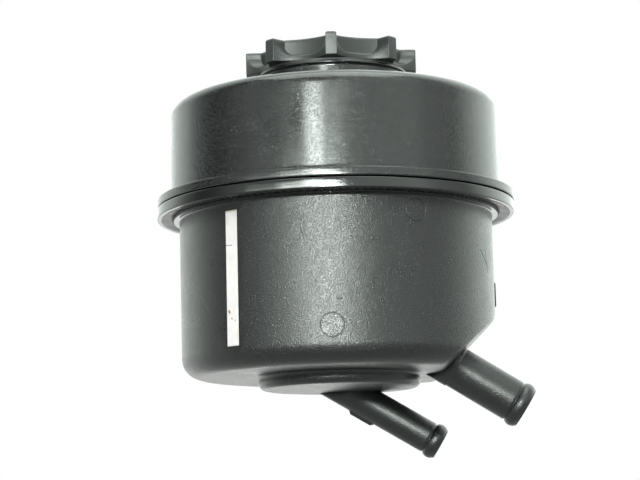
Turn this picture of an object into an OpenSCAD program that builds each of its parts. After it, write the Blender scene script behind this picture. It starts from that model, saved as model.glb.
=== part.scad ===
// Power steering fluid reservoir: two welded moulded bowls, a star grip cap with dipstick,
// and a sprung fluid filter with its bypass valve inside. Millimetres, +Z up.
// The origin lies on the bowls' axis, in the plane of the flange's underside.

/* [Lower bowl] */
// Outer radius of the lower bowl's wall
bowl_r = 59.8; // [56:0.2:62]
// Depth of the lower bowl below the flange's underside
bowl_depth = 60.6; // [56:0.2:66]
// Wall thickness of both bowls
wall = 2.8; // [2.2:0.1:3.4]
// Outer rounding where the wall meets the bottom
bottom_round = 7.5; // [6:0.5:11]
// Radius of the round sump under the bottom
sump_r = 30.7; // [29.5:0.1:32]
// How far the sump stands below the bottom
sump_drop = 4.8; // [4:0.1:6]
// Slope of the flat facet above the suction spigot, from the horizontal
facet_angle = 44; // [41:0.5:47]
// Distance from the axis to the facet's foot
facet_foot = 38.7; // [37:0.1:40]

/* [Flange] */
// How far the welded flange stands out of the upper bowl's wall
flange_w = 5.4; // [4:0.1:9]
// Thickness of the lower half of the flange
lower_flange_h = 4; // [3:0.1:5]
// Thickness of the upper half of the flange
upper_flange_h = 3.35; // [2.5:0.05:4.5]
// Height of the weld seam that holds the two halves apart
seam_h = 0.4; // [0.3:0.05:0.8]
// Depth of the groove round the flange, outside the weld seam
groove_depth = 2.3; // [1.5:0.1:3]
// Number of drive teeth under the flange
tooth_count = 144; // [96:12:180]
// Height of the drive teeth
tooth_h = 0.5; // [0.3:0.1:0.8]
// How far the collar under the flange stands out of the wall
collar_step = 2.4; // [1.5:0.1:3.5]
// Height of the collar under the flange
collar_h = 0.9; // [0.5:0.1:2]

/* [Spigots] */
// Outer diameter of the suction spigot
suction_d = 16; // [15:0.1:17]
// Bore of the suction spigot
suction_bore = 12; // [11:0.1:12.6]
// Length of the suction spigot's axis beyond the facet
suction_len = 32.8; // [28:0.1:40]
// Slope of the suction spigot below the horizontal
suction_tilt = 32.3; // [30:0.1:34]
// Height of the point where the suction axis leaves the facet, above the bottom
suction_rise = 3.7; // [3.4:0.1:4.6]
// Outer diameter of the return spigot
return_d = 12.4; // [11.6:0.1:13]
// Bore of the return spigot
return_bore = 8.8; // [8:0.1:9.2]
// Length of the return spigot's axis below the sump
return_len = 40.5; // [34:0.1:48]
// Slope of the return spigot below the horizontal
return_tilt = 31.1; // [30:0.1:33]
// Distance from the axis to the point where the return axis leaves the sump, along X
return_x = 4.2; // [3:0.1:6]
// Distance of the return spigot behind the suction spigot
return_y = 21; // [19:0.1:22]
// Width of the hose bead at each spigot's end
bead_w = 4.3; // [3.4:0.1:5]
// How far the hose bead stands out of its spigot
bead_h = 0.8; // [0.5:0.05:1.1]
// Distance from the spigot's end to the hose bead
bead_inset = 0.6; // [0.4:0.1:1.5]

/* [Locating key] */
// Angle of the key behind the facet's middle
key_angle = 8; // [4:1:14]
// Width of the key
key_w = 4; // [3:0.2:6]
// Height of the key
key_h = 9.6; // [7:0.2:12]
// How far the key stands out of the wall
key_t = 0.9; // [0.5:0.1:1.2]
// Height of the key's middle below the flange
key_drop = 30; // [28:0.5:34]

/* [Upper bowl] */
// How far the upper bowl's wall lies outside the lower one's
upper_step = 3.3; // [2.4:0.1:4.2]
// Height of the upper bowl's flat top above the flange's underside
upper_top = 44.9; // [40:0.1:50]
// Rounding of the upper bowl's shoulder
shoulder_round = 5.6; // [4.5:0.1:8]

/* [Neck] */
// Outer radius of the filler neck
neck_r = 28.7; // [28.4:0.1:30]
// Height of the neck above the upper bowl's flat top
neck_h = 10.9; // [9:0.1:13]
// How far the bead at the neck's mouth stands out
neck_bead = 0.7; // [0.4:0.1:1]
// Height of the bead at the neck's mouth
neck_bead_h = 1.2; // [0.8:0.1:2]

/* [Cap] */
// Radius over the tips of the cap's grip ribs
rib_tip_r = 33; // [31.4:0.1:33.6]
// Width of a grip rib
rib_w = 4.2; // [3.6:0.1:5]
// Number of grip ribs
rib_count = 8; // [7:1:9]
// Height of the grip
grip_h = 9; // [8:0.1:11]
// Radius of the grip's hub, between the ribs
pocket_r = 24.6; // [24.2:0.1:26]
// Radius of the grip's lower lip at the middle of a pocket
lip_r = 27; // [26.4:0.1:28]
// Height of the lower lip
lip_h = 2; // [1:0.1:2.5]
// Rounding where a finger pocket's floor meets the ribs
pocket_round = 2.5; // [1.5:0.1:3.5]
// Rounding of the grip's top edge
grip_round = 1.8; // [1:0.1:2.4]
// Wall of the cap's plug and grip
cap_wall = 2.8; // [2.2:0.1:3.2]
// Length of the plug inside the neck
plug_len = 10; // [8:0.1:12]
// Thickness of the cap's seal
seal_t = 1.1; // [0.8:0.05:1.6]
// Gap between the plug and the neck
plug_gap = 0.4; // [0.3:0.05:0.6]

/* [Dipstick and vent] */
// Gap between the dipstick's tip and the bypass valve's stem
dipstick_gap = 6.6; // [4.5:0.1:20]
// Width of the dipstick's blade
dipstick_w = 6; // [5:0.1:8]
// Thickness of the dipstick's blade
dipstick_t = 1.8; // [1.4:0.1:2.4]
// Radius of the vent's sealing disc
vent_disc_r = 6.5; // [6:0.1:7]
// Thickness of the vent's sealing disc
vent_disc_t = 1.4; // [1:0.1:1.8]
// Thickness of the plate that closes the plug
vent_plate_t = 2; // [1.6:0.1:2.6]

/* [Filter] */
// Outer radius of the filter's cage
cage_r = 24; // [22:0.2:25]
// Height of the filter's cage
cage_h = 36; // [30:0.5:40]
// Rows of windows in the cage
cage_rows = 3; // [2:1:4]
// Windows in each row of the cage, always even
cage_columns = 8; // [6:2:10]
// Thickness of the filter screen
mesh_t = 0.6; // [0.4:0.1:1]
// Thickness of the filter's end discs
end_t = 3; // [2.6:0.1:3.6]
// Radius of the foot ring seal
foot_seal_r = 30; // [29.6:0.1:30.4]
// Thickness of the foot ring seal
foot_seal_t = 2.4; // [2:0.1:2.6]

/* [Bypass valve] */
// Radius of the bypass hole in the upper end disc
bypass_hole_r = 6; // [5:0.1:7]
// Radius of the bypass poppet
poppet_r = 8.5; // [8:0.1:9]
// Inner radius of the bypass bridge
bridge_r = 10.6; // [10:0.1:11.4]
// Height of the bypass bridge
bridge_h = 10; // [9.6:0.1:12]

/* [Springs and baffle] */
// Gap between the splash baffle and the lower bowl's wall
baffle_gap = 5; // [3.5:0.1:10]
// Thickness of the splash baffle
baffle_t = 2; // [1.6:0.1:2.6]
// Number of drain holes in each circle on the splash baffle
baffle_holes = 24; // [12:1:30]
// Radius of the hold-down spring's lowest coil
spring_low_r = 16; // [15:0.1:18]
// Radius of the hold-down spring's highest coil
spring_high_r = 28.6; // [28:0.1:31]
// Wire diameter of the hold-down spring
spring_wire = 2.2; // [1.8:0.1:2.6]
// Free turns of the hold-down spring
spring_turns = 4; // [3:1:5]

/* [Strip label] */
// Width of the strip label
label_w = 5.4; // [4:0.1:8]
// Length of the strip label
label_len = 48.4; // [40:0.2:50]
// Angle of the strip label round the bowl, from the front towards the left
label_angle = 39.4; // [30:0.2:50]

/* [Hidden] */

smooth = 96;             // sides of the large round forms
fine = 48;               // sides of the small round forms
beyond = 1;              // how far a cut runs past the face it opens
slack = 0.1;             // gap between pieces that are pushed together

// Heights of the lower bowl
floor_z = wall - bowl_depth;                 // inner floor of the lower bowl
sump_z = -bowl_depth - sump_drop;            // underside of the sump
sump_floor_z = sump_z + wall;                // inner floor of the sump
seam_z = lower_flange_h + seam_h;            // plane where the two bowls meet
bowl_in_r = bowl_r - wall;
upper_r = bowl_r + upper_step;
flange_r = upper_r + flange_w;
seam_r = flange_r - groove_depth;
sump_round = 1;
tooth_margin = 1.6;                          // the teeth end this far inside the flange's edge

// Heights of the upper bowl, the neck and the cap
ceiling_z = upper_top - wall;
neck_wall = 2.7;
neck_bore_r = neck_r - neck_wall;
neck_top = upper_top + neck_h;
grip_z = neck_top + seal_t;
grip_top = grip_z + grip_h;
plug_r = neck_bore_r - plug_gap;
cap_roof_z = grip_top - cap_wall;
vent_plate_drop = 2.5;                       // the vent plate lies this far below the grip
vent_plate_top = grip_z - vent_plate_drop;
vent_plate_z = vent_plate_top - vent_plate_t;

// Lip under a finger pocket: a circle through two places beside the ribs' tips and the lip's
// innermost point
rib_pitch = 360 / rib_count;
lip_margin = 0.3;                            // how far beside a rib's tip the circle starts
corner_angle = rib_pitch / 2 - asin((rib_w / 2 + lip_margin) / rib_tip_r);
lip_centre = (pow(rib_tip_r, 2) - lip_r * lip_r) / 2 / (rib_tip_r * cos(corner_angle) - lip_r);

// Filter stack, from the floor up
lower_end_lift = 0.4;                        // the foot seal holds the end disc off the floor
lower_end_z = floor_z + lower_end_lift;
end_lip = 1.4;                               // how far an end disc stands past what it holds
lower_end_r = foot_seal_r + foot_seal_t / 2 + end_lip;
cage_z = lower_end_z + end_t;
upper_end_z = cage_z + cage_h;
upper_end_top = upper_end_z + end_t;
cage_wall = 1.5;
mesh_r = cage_r + slack;
upper_end_r = mesh_r + mesh_t + end_lip;
flow_hole_r = 14;
poppet_t = 1.5;
stem_r = 1.4;
stem_gap = 0.3;
bridge_wall = 1.4;
bridge_roof = 1.6;
bridge_top = upper_end_top + bridge_h;
stem_above = 1.2;                            // the stem stands this far out of the bridge
baffle_r = bowl_in_r - baffle_gap;
baffle_top = upper_end_top + baffle_t;
baffle_rim = 1.5;

// Spigot axes: the point where each leaves the bowl
suction_root = [facet_foot + suction_rise / tan(facet_angle), 0, suction_rise - bowl_depth];
return_root = [return_x, return_y, sump_z];
// The suction spigot's thickened root ends square to its axis, where its top meets the facet
root_step = 0.6;
root_r = suction_d / 2 + root_step;
root_len = root_r / tan(facet_angle + suction_tilt);
// How far each bore runs on inside the bowl, to open into it short of the filter
suction_reach = 5.6;
return_reach = 7;

// Vent parts inside the cap
vent_guide_gap = 0.4;
vent_guide_wall = 1.5;
socket_h = 4;                                // socket that holds the dipstick
socket_wall = 1.4;
dipstick_top = vent_plate_z;
dipstick_tip = bridge_top + stem_above + dipstick_gap;

// Springs: coil radius, wire and turns of the two small ones, and how finely each is drawn
bypass_coil_r = 5;
bypass_wire = 0.8;
vent_coil_r = 4.6;
vent_wire = 0.6;
small_turns = 4;
small_steps = 16;                            // places round one turn of the coil
small_sides = 6;                             // sides of the wire
large_steps = 24;
large_sides = 8;

// Small places
edge_round = 0.5;                            // rounding of the valves' edges
locating_ring_h = 3;                         // ring on the floor that centres the filter
locating_ring_w = 1.6;
magnet_t = 3;
magnet_r = 12;
magnet_pin_r = 6;
label_t = 0.15;
label_gap = 0.05;                            // its glue
label_drop = 3.2;

// Profile of a round form that stands from z0 to z1 with its lower or upper edge rounded
module disc_profile(r, z0, z1, low_round, high_round) {
    tall = z1 - z0;
    difference() {
        translate([0, z0]) square([r, tall]);
        if (low_round > 0) translate([r - low_round, z0 - beyond])
            square([low_round + beyond, low_round + beyond]);
        if (high_round > 0) translate([r - high_round, z1 - high_round])
            square([high_round + beyond, high_round + beyond]);
    }
    if (low_round > 0) quarter([r - low_round, z0 + low_round], low_round, -1);
    if (high_round > 0) quarter([r - high_round, z1 - high_round], high_round, 1);
}

// Quarter of a circle about a centre, on its outer side and below or above it
module quarter(centre, r, up) {
    translate(centre) intersection() {
        circle(r, $fn = fine);
        translate([0, up > 0 ? 0 : -r]) square([r, r]);
    }
}

module round_form(r, z0, z1, low_round = 0, high_round = 0, sides = smooth) {
    rotate_extrude($fn = sides) disc_profile(r, z0, z1, low_round, high_round);
}

module ring(outer, inner, z0, height, sides = smooth) {
    translate([0, 0, z0]) difference() {
        cylinder(r = outer, h = height, $fn = sides);
        translate([0, 0, -beyond]) cylinder(r = inner, h = height + 2 * beyond, $fn = sides);
    }
}

// Everything outside a plane that slopes up to the right from the facet's foot
module outside_facet(inset) {
    far = 3 * bowl_r;
    translate([facet_foot, 0, -bowl_depth]) rotate([0, -facet_angle, 0])
        translate([-far / 2, -far / 2, inset - far]) cube([far, far, far]);
}

// Places a piece whose axis is +Z on a spigot's axis, which slopes down to the right
module on_axis(root, tilt) {
    translate(root) rotate([0, 90 + tilt, 0]) children();
}

// Tube with a rounded hose bead near its end, running back into the bowl's wall
module spigot(d, len, back) {
    r = d / 2;
    bead_arc = (pow(bead_w / 2, 2) + pow(bead_h, 2)) / 2 / bead_h;
    translate([0, 0, -back]) cylinder(r = r, h = back + len, $fn = fine);
    rotate_extrude($fn = fine) intersection() {
        translate([r + bead_h - bead_arc, len - bead_inset - bead_w / 2])
            circle(bead_arc, $fn = smooth);
        translate([r / 2, len - bead_inset - bead_w]) square([r, bead_w]);
    }
}

// Coil of round wire from z0 to z1. Its first and last turn lie flat as spirals, so that
// they never touch the turns beside them when flat is 1; with flat 0 the ends are open.
module coil(low_r, high_r, z0, z1, wire, turns, flat, steps, sides) {
    total = turns + 2 * flat;
    rings = total * steps;
    flat_pitch = 1.15;
    spiral = flat_pitch * wire * flat;
    function rise(u) = min(max(u - flat, 0), turns) / turns;
    function reach(u) = low_r + spiral * min(u, 1) * flat
        + (high_r - low_r - 2 * spiral) * rise(u) + spiral * max(u - turns - flat, 0) * flat;
    points = [for (i = [0 : rings]) let (u = i / steps, a = 360 * u,
            z = z0 + wire / 2 + (z1 - z0 - wire) * rise(u))
        for (j = [0 : sides - 1]) let (b = 360 * j / sides, r = reach(u) + wire / 2 * cos(b))
            [r * cos(a), r * sin(a), z + wire / 2 * sin(b)]];
    first = [for (j = [0 : sides - 1]) j];
    last = [for (j = [sides - 1 : -1 : 0]) rings * sides + j];
    walls = [for (i = [0 : rings - 1]) for (j = [0 : sides - 1]) let (k = (j + 1) % sides)
        [i * sides + j, (i + 1) * sides + j, (i + 1) * sides + k, i * sides + k]];
    polyhedron(points, concat([first], walls, [last]));
}

// Moulded lower bowl with its flange half, sump, facet and both spigots
module lower_bowl() {
    color([0.1, 0.11, 0.11]) difference() {
        union() {
            difference() {
                bowl_outside();
                difference() {
                    round_form(bowl_in_r, floor_z, seam_z + beyond, bottom_round - wall);
                    outside_facet(wall);
                }
                round_form(sump_r - wall, sump_floor_z, floor_z + beyond);
            }
            ring(lower_end_r + 2 * slack + locating_ring_w, lower_end_r + 2 * slack,
                floor_z, locating_ring_h);
            round_form(magnet_pin_r, sump_floor_z, sump_floor_z + magnet_t, 0, 0, fine);
        }
        on_axis(suction_root, suction_tilt) translate([0, 0, -suction_reach])
            cylinder(r = suction_bore / 2, h = suction_reach + suction_len + beyond, $fn = fine);
        on_axis(return_root, return_tilt) translate([0, 0, -return_reach])
            cylinder(r = return_bore / 2, h = return_reach + return_len + beyond, $fn = fine);
    }
}

// The lower bowl's outer form, before it is hollowed
module bowl_outside() {
    difference() {
        round_form(bowl_r, -bowl_depth, seam_z, bottom_round);
        outside_facet(0);
    }
    round_form(sump_r, sump_z, floor_z, sump_round);
    round_form(flange_r, 0, lower_flange_h);
    round_form(seam_r, 0, seam_z);
    round_form(bowl_r + collar_step, -collar_h, 0);
    drive_teeth();
    rotate([0, 0, 90 + key_angle]) translate([-key_w / 2, -bowl_r - key_t, -key_drop - key_h / 2])
        cube([key_w, 2 * key_t, key_h]);
    on_axis(suction_root, suction_tilt) {
        spigot(suction_d, suction_len, suction_d / 2);
        translate([0, 0, -root_r]) cylinder(r = root_r, h = root_r + root_len, $fn = fine);
    }
    on_axis(return_root, return_tilt) spigot(return_d, return_len, return_d);
}

// Ring of radial teeth under the flange, by which the welding tool holds the bowl
module drive_teeth() {
    half_pitch_angle = 180 / tooth_count;
    root = bowl_r + collar_step / 2;
    tip = flange_r - tooth_margin;
    translate([0, 0, -tooth_h]) linear_extrude(tooth_h + lower_flange_h / 2)
        polygon([for (i = [0 : tooth_count - 1], end = [[-0.5, root], [-0.5, tip], [0.5, tip],
                [0.5, root]]) let (a = (2 * i + end[0]) * half_pitch_angle)
            [end[1] * cos(a), end[1] * sin(a)]]);
}

// Moulded upper bowl with its flange half and the filler neck
module upper_bowl() {
    color([0.09, 0.1, 0.1]) difference() {
        union() {
            round_form(upper_r, seam_z, upper_top, 0, shoulder_round);
            round_form(flange_r, seam_z, seam_z + upper_flange_h);
            round_form(neck_r, upper_top - wall / 2, neck_top);
            round_form(neck_r + neck_bead, neck_top - neck_bead_h, neck_top);
        }
        round_form(upper_r - wall, seam_z - beyond, ceiling_z, 0, shoulder_round - wall);
        round_form(neck_bore_r, ceiling_z - beyond, neck_top + beyond);
    }
}

// White paper strip on the front left of the lower bowl
module strip_label() {
    color([0.92, 0.89, 0.86]) intersection() {
        ring(bowl_r + label_gap + label_t, bowl_r + label_gap, -label_drop - label_len, label_len);
        rotate([0, 0, -label_angle]) translate([-label_w / 2, -bowl_r - wall, -bowl_depth])
            cube([label_w, 2 * wall, bowl_depth]);
    }
}

// Rubber ring between the filter's foot and the bowl's floor
module foot_seal() {
    color([0.06, 0.06, 0.06]) translate([0, 0, floor_z + foot_seal_t / 2])
        rotate_extrude($fn = smooth) translate([foot_seal_r, 0])
            circle(foot_seal_t / 2, $fn = fine);
}

// Ring magnet in the sump that catches steel wear
module sump_magnet() {
    color([0.32, 0.32, 0.33])
        ring(magnet_r, magnet_pin_r + slack, sump_floor_z, magnet_t, fine);
}

// Filter's lower end disc: seal groove below, flow hole, and a ring that centres the cage
module filter_lower_end() {
    groove = foot_seal_t + slack;
    color([0.82, 0.8, 0.74]) {
        difference() {
            round_form(lower_end_r, lower_end_z, cage_z);
            round_form(flow_hole_r, lower_end_z - beyond, cage_z + beyond);
            ring(foot_seal_r + groove / 2, foot_seal_r - groove / 2,
                lower_end_z - beyond, foot_seal_t - lower_end_lift + beyond);
        }
        cage_ring(cage_z);
    }
}

// Ring of an end disc that sits inside the cage
module cage_ring(z) {
    outer = cage_r - cage_wall - slack;
    ring(outer, outer - cage_wall, z, cage_wall + beyond);
}

// Filter cage: a tube with rows of windows
module filter_cage() {
    bar = 3;
    window_h = (cage_h - bar * (cage_rows + 1)) / cage_rows;
    open_share = 0.64;
    window_w = open_share * 2 * PI * cage_r / cage_columns;
    color([0.82, 0.8, 0.74]) difference() {
        ring(cage_r, cage_r - cage_wall, cage_z, cage_h);
        for (row = [0 : cage_rows - 1], turn = [0 : cage_columns / 2 - 1])
            rotate([0, 0, turn * 360 / cage_columns])
                translate([-cage_r - beyond, -window_w / 2,
                    cage_z + bar + row * (window_h + bar)])
                    cube([2 * (cage_r + beyond), window_w, window_h]);
    }
}

// Fine screen round the cage
module filter_mesh() {
    color([0.7, 0.7, 0.68]) ring(mesh_r + mesh_t, mesh_r, cage_z, cage_h);
}

// Filter's upper end disc with the bypass hole
module filter_upper_end() {
    color([0.82, 0.8, 0.74]) {
        difference() {
            round_form(upper_end_r, upper_end_z, upper_end_top);
            round_form(bypass_hole_r, upper_end_z - beyond, upper_end_top + beyond, 0, 0, fine);
        }
        cage_ring(upper_end_z - cage_wall - beyond);
    }
}

// Bypass poppet: a disc over the hole, a guiding nose in it and a stem through the bridge
module bypass_poppet() {
    nose_gap = 0.4;
    color([0.2, 0.22, 0.24]) {
        round_form(poppet_r, upper_end_top, upper_end_top + poppet_t, 0, 0, fine);
        round_form(bypass_hole_r - nose_gap, upper_end_top - poppet_t, upper_end_top,
            edge_round, 0, fine);
        round_form(stem_r, upper_end_top, bridge_top + stem_above, 0, edge_round, fine);
    }
}

module bypass_spring() {
    color([0.7, 0.71, 0.73])
        coil(bypass_coil_r, bypass_coil_r, upper_end_top + poppet_t, bridge_top - bridge_roof,
            bypass_wire, small_turns, 0, small_steps, small_sides);
}

// Bridge over the bypass valve: a windowed cup upside down, with a hole for the stem
module bypass_bridge() {
    sill = 1.5;
    open_share = 0.8;
    window_h = bridge_h - bridge_roof - 2 * sill;
    window_w = open_share * bridge_r;
    outer = bridge_r + bridge_wall;
    color([0.82, 0.8, 0.74]) difference() {
        round_form(outer, upper_end_top, bridge_top, 0, edge_round, fine);
        round_form(bridge_r, upper_end_top - beyond, bridge_top - bridge_roof, 0, 0, fine);
        round_form(stem_r + stem_gap, bridge_top - 2 * bridge_roof, bridge_top + beyond,
            0, 0, fine);
        for (turn = [0, 90]) rotate([0, 0, turn])
            translate([-outer - beyond, -window_w / 2, upper_end_top + sill])
                cube([2 * (outer + beyond), window_w, window_h]);
    }
}

// Splash baffle: a drilled disc with a turned-down rim, held down by the large spring
module splash_baffle() {
    hole_r = 1.9;
    hole_row = 7;
    color([0.16, 0.17, 0.17]) difference() {
        round_form(baffle_r, upper_end_top - baffle_rim, baffle_top, 0, baffle_t / 2);
        round_form(baffle_r - baffle_t, upper_end_top - baffle_rim - beyond, upper_end_top);
        round_form(bridge_r + bridge_wall + 3 * slack, upper_end_top - beyond,
            baffle_top + beyond, 0, 0, fine);
        for (i = [0 : baffle_holes - 1], row = [1, 2])
            rotate([0, 0, (i + row / 2) * 360 / baffle_holes])
            translate([upper_end_r + row * hole_row, 0, upper_end_top - beyond])
                cylinder(r = hole_r, h = baffle_t + 2 * beyond, $fn = fine);
    }
}

module hold_down_spring() {
    color([0.7, 0.71, 0.73]) coil(spring_low_r, spring_high_r, baffle_top, ceiling_z,
        spring_wire, spring_turns, 1, large_steps, large_sides);
}

// Flat rubber seal between the neck's mouth and the cap
module cap_seal() {
    edge = 0.4;
    color([0.05, 0.05, 0.05]) ring(neck_r - edge, plug_r + edge / 2, neck_top, seal_t);
}

// Cap: a star grip with finger pockets, a hollow plug and the guide of the vent
module cap_grip() {
    hollow_r = pocket_r - cap_wall;
    guide_r = vent_disc_r + vent_guide_gap;
    color([0.12, 0.13, 0.14]) {
        difference() {
            union() {
                grip_star();
                round_form(plug_r, grip_z - plug_len, grip_z);
            }
            round_form(hollow_r, grip_z - plug_len - beyond, cap_roof_z);
        }
        ring(guide_r + vent_guide_wall, guide_r, vent_plate_top + vent_disc_t / 2,
            cap_roof_z - vent_plate_top - vent_disc_t / 2, fine);
    }
}

// Star of the grip: a round hub with ribs, on a lip that is scooped out under each pocket
module grip_star() {
    difference() {
        round_form(rib_tip_r, grip_z, grip_top, 0, grip_round);
        difference() {
            for (i = [0 : rib_count - 1]) rotate([0, 0, i * rib_pitch]) intersection() {
                beside_rib(1);
                rotate([0, 0, rib_pitch]) beside_rib(-1);
            }
            round_form(pocket_r, grip_z, grip_top + 2 * beyond);
        }
        for (i = [0 : rib_count - 1]) rotate([0, 0, (i + 0.5) * rib_pitch])
            translate([lip_centre, 0, grip_z - beyond])
                cylinder(r = lip_centre - lip_r, h = grip_h + 2 * beyond, $fn = smooth);
    }
}

// Room over the lip on one side of the rib that points to the right
module beside_rib(side) {
    far = 2 * rib_tip_r;
    mirror([0, side > 0 ? 1 : 0, 0]) translate([0, -rib_w / 2 - far, grip_z + lip_h])
        rotate([90, 0, 90]) linear_extrude(far)
            disc_profile(far, 0, grip_h - lip_h + beyond, pocket_round, 0);
}

// Plate in the plug: seat of the vent's disc, with its air holes
module vent_plate() {
    hole_r = 1.2;
    hole_circle = 4.4;
    color([0.82, 0.8, 0.74]) difference() {
        round_form(pocket_r - cap_wall - slack / 2, vent_plate_z, vent_plate_top);
        for (turn = [45 : 90 : 315]) rotate([0, 0, turn])
            translate([hole_circle, 0, vent_plate_z - beyond])
                cylinder(r = hole_r, h = vent_plate_t + 2 * beyond, $fn = fine);
    }
}

// Socket under the vent plate that grips the dipstick
module dipstick_socket() {
    inner = [dipstick_w + slack, dipstick_t + slack, socket_h + 2 * beyond];
    outer = [dipstick_w + 2 * socket_wall, dipstick_t + 2 * socket_wall, socket_h];
    color([0.8, 0.78, 0.71]) translate([0, 0, vent_plate_z - socket_h / 2]) difference() {
        cube(outer, center = true);
        cube(inner, center = true);
    }
}

module vent_disc() {
    color([0.06, 0.06, 0.06])
        round_form(vent_disc_r, vent_plate_top, vent_plate_top + vent_disc_t,
            0, edge_round, fine);
}

module vent_spring() {
    color([0.7, 0.71, 0.73])
        coil(vent_coil_r, vent_coil_r, vent_plate_top + vent_disc_t, cap_roof_z,
            vent_wire, small_turns, 0, small_steps, small_sides);
}

// Dipstick: a flat blade with a pointed end and a pair of notches at each level
module dipstick() {
    half = dipstick_w / 2;
    notch = 0.9;
    tip_half = 1;
    low_mark = 8;
    high_mark = 20;
    color([0.78, 0.77, 0.72]) difference() {
        rotate([90, 0, 0]) linear_extrude(dipstick_t, center = true)
            polygon([[-half, dipstick_top], [-half, dipstick_tip + half], [-tip_half, dipstick_tip],
                [tip_half, dipstick_tip], [half, dipstick_tip + half], [half, dipstick_top]]);
        for (mark = [low_mark, high_mark], side = [-1, 1])
            translate([side * half, 0, dipstick_tip + mark]) rotate([0, 45, 0])
                cube([notch * sqrt(2), dipstick_t + beyond, notch * sqrt(2)], center = true);
    }
}

lower_bowl();
upper_bowl();
strip_label();
foot_seal();
sump_magnet();
filter_lower_end();
filter_cage();
filter_mesh();
filter_upper_end();
bypass_poppet();
bypass_spring();
bypass_bridge();
splash_baffle();
hold_down_spring();
cap_seal();
cap_grip();
vent_plate();
vent_disc();
vent_spring();
dipstick_socket();
dipstick();
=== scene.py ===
"""Looks of the power steering reservoir: moulded skins, grained nylon, springs and a soft studio.

Metres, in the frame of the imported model: +Z up on the bowls' axis, with its origin in the plane
of the flange's underside. Every skin is a grid of points worked out with numpy, closed at its
seams and poles.
"""

import math

import bmesh
import bpy
import numpy as np
from mathutils import Matrix, Vector


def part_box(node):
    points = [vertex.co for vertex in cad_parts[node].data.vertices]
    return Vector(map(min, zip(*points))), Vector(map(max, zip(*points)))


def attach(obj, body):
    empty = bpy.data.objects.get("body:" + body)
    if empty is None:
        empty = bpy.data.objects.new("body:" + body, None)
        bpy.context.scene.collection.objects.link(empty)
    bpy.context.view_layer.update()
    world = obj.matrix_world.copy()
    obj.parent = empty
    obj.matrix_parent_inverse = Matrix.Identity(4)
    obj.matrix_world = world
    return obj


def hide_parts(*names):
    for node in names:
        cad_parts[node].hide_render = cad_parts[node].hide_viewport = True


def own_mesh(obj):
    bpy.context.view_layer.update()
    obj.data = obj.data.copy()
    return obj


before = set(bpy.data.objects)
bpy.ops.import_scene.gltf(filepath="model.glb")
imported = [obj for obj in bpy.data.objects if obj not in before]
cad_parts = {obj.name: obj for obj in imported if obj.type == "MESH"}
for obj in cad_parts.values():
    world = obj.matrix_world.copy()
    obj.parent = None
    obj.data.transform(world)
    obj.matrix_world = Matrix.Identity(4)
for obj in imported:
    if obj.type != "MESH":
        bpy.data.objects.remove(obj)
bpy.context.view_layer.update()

MM = 0.001

# Points round the bowls and round a spigot
BOWL_SIDES = 400
SPIGOT_SIDES = 128

# Lower bowl
BOWL_TOP_R = 59.9 * MM
BOWL_FOOT_R = 59.7 * MM
BOTTOM_Z = -60.6 * MM
BOTTOM_ROUND = 7.5 * MM
WALL = 2.8 * MM
SUMP_R = 30.7 * MM
SUMP_Z = -65.4 * MM
SUMP_ROUND = 2.4 * MM
SUMP_FILLET = 1.2 * MM
COLLAR_R = 62.2 * MM
COLLAR_H = 0.6 * MM
COLLAR_FILLET = 0.5 * MM
COLLAR_ROUND = 0.2 * MM
FACET_FOOT_X = 38.7 * MM
FACET_ANGLE = math.radians(44)
FACET_SOFTNESS = 1.7 * MM
FACET_FOOT = np.array([FACET_FOOT_X, 0, BOTTOM_Z])
FACET_NORMAL = np.array([math.sin(FACET_ANGLE), 0, -math.cos(FACET_ANGLE)])

# Locating key: its angle from +X towards the back, and its size
KEY_ANGLE = math.radians(8)
KEY_Z = -30.0 * MM
KEY_SIZE = (4.0 * MM, 1.8 * MM, 9.6 * MM)
KEY_CORNER = 0.4 * MM
KEY_EDGE = 0.3 * MM

# Flange
FLANGE_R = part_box("upper_bowl")[1].y
LOWER_FLANGE_TOP = 4.0 * MM
SEAM_R = FLANGE_R - 2.3 * MM
SEAM_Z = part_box("upper_bowl")[0].z
UPPER_FLANGE_TOP = SEAM_Z + 3.35 * MM
FLANGE_EDGE = 0.45 * MM
TOOTH_COUNT = 144
TOOTH_H = 0.14 * MM
TOOTH_FROM, TOOTH_TO = 60.9 * MM, FLANGE_R - 1.6 * MM

# Upper bowl: its wall leans in a little towards the shoulder
UPPER_R = 63.35 * MM
UPPER_SHIFT = np.array([0.2 * MM, 0, 0])
SHOULDER_R = 62.9 * MM
SHOULDER_WIDTH = 6.0 * MM
SHOULDER_HEIGHT = 5.2 * MM
UPPER_TOP = 44.9 * MM
NECK_R = 28.7 * MM
NECK_BEAD_R = 29.4 * MM
NECK_BEAD_H = 1.0 * MM
NECK_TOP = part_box("upper_bowl")[1].z
NECK_BORE_R = 26.0 * MM
UPPER_FILLET = 1.2 * MM
NECK_FILLET = 1.0 * MM
NECK_EDGE = 0.4 * MM

# Cap
GRIP_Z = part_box("cap_seal")[1].z
GRIP_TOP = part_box("cap_grip")[1].z
PLUG_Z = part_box("cap_grip")[0].z
TIP_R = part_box("cap_grip")[1].x
RIB_COUNT = 8
RIB_W = 4.2 * MM
POCKET_R = 24.6 * MM
LIP_R = 27.0 * MM
LIP_H = 2.0 * MM
LIP_EDGE = 0.3 * MM
SKIRT_R = 26.0 * MM
POCKET_ROUND = 4.8 * MM
POCKET_SIDE_R = 27.2 * MM
POCKET_SOFTNESS = 3.0 * MM
TIP_SOFTNESS = 0.5 * MM
CAP_SHIFT = np.array([-0.35 * MM, 0, 0])
HUB_ROUND = 1.2 * MM
GRIP_ROUND = 1.0 * MM
PLUG_R = 25.6 * MM
PLUG_EDGE = 0.4 * MM
CAP_WALL = 2.8 * MM

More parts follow.
